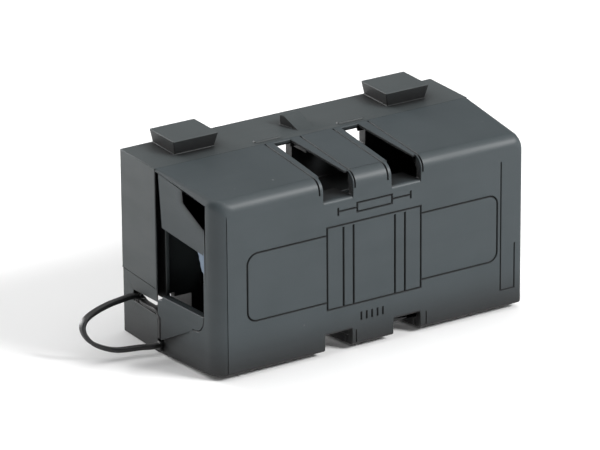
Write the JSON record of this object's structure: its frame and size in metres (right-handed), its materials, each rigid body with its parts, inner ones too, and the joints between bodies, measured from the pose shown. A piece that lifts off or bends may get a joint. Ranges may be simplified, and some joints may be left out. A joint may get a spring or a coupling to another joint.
{
  "type": "bolt-down fuse holder",
  "caption": "Box-shaped bolt-down fuse holder: moulded base with threaded studs and a clamped strip fuse, closed by a deep slotted pull-off cover on a moulded strap, with dovetail tabs.",
  "frame": {"origin": "centre of the base's flat mounting face", "axes": "+X along the holder's length, from the open cable entry to the closed end; +Y out of the mounting face, away from the cover; +Z towards the wall with the dovetail tabs"},
  "size_m": [0.0907, 0.0342, 0.0426],
  "materials": {
    "housing": "charcoal blue-grey moulded plastic, semi-matt, fine spark-eroded texture",
    "strap": "black flexible plastic, satin",
    "zinc_steel": "clear zinc plated",
    "tinned_copper": "tin plated copper, satin",
    "brass_sleeve": "plain brass",
    "fuse_plastic": "dark blue moulded plastic",
    "fuse_window": "clear polycarbonate"
  },
  "bodies": {
    "base": {"base": "housing", "stud_left": "zinc_steel", "stud_right": "zinc_steel", "contact_plate_left": "tinned_copper", "contact_plate_right": "tinned_copper", "mounting_sleeve_left": "brass_sleeve", "mounting_sleeve_right": "brass_sleeve", "fuse_element": "tinned_copper", "fuse_body_lower": "fuse_plastic", "fuse_body_upper": "fuse_plastic", "fuse_window": "fuse_window", "fuse_rivet_1": "zinc_steel", "fuse_rivet_2": "zinc_steel"},
    "cover": {"cover": "housing", "strap": "strap"},
    "washers_left": {"flat_washer_left": "zinc_steel", "spring_washer_left": "zinc_steel"},
    "nut_left": {"nut_left": "zinc_steel"},
    "washers_right": {"flat_washer_right": "zinc_steel", "spring_washer_right": "zinc_steel"},
    "nut_right": {"nut_right": "zinc_steel"}
  },
  "joints": [
    {"name": "cover_pull", "type": "slide", "parent": "base", "child": "cover", "axis": [0, -1, 0], "range_m": [0, 0.024], "deforming": ["strap"]},
    {"name": "washers_left_lift", "type": "slide", "parent": "base", "child": "washers_left", "axis": [0, -1, 0], "range_m": [0, 0.0096]},
    {"name": "nut_left_turn", "type": "hinge", "parent": "washers_left", "child": "nut_left", "pos_m": [-0.015, -0.0187, 0], "axis": [0, -1, 0], "range_deg": [0, 4320]},
    {"name": "washers_right_lift", "type": "slide", "parent": "base", "child": "washers_right", "axis": [0, -1, 0], "range_m": [0, 0.0096]},
    {"name": "nut_right_turn", "type": "hinge", "parent": "washers_right", "child": "nut_right", "pos_m": [0.015, -0.0187, 0], "axis": [0, -1, 0], "range_deg": [0, 4320]}
  ],
  "couplings": [
    {"joint": "nut_left_turn", "follows": "washers_left_lift", "rad_per_m": 7853.9},
    {"joint": "nut_right_turn", "follows": "washers_right_lift", "rad_per_m": 7853.9}
  ]
}
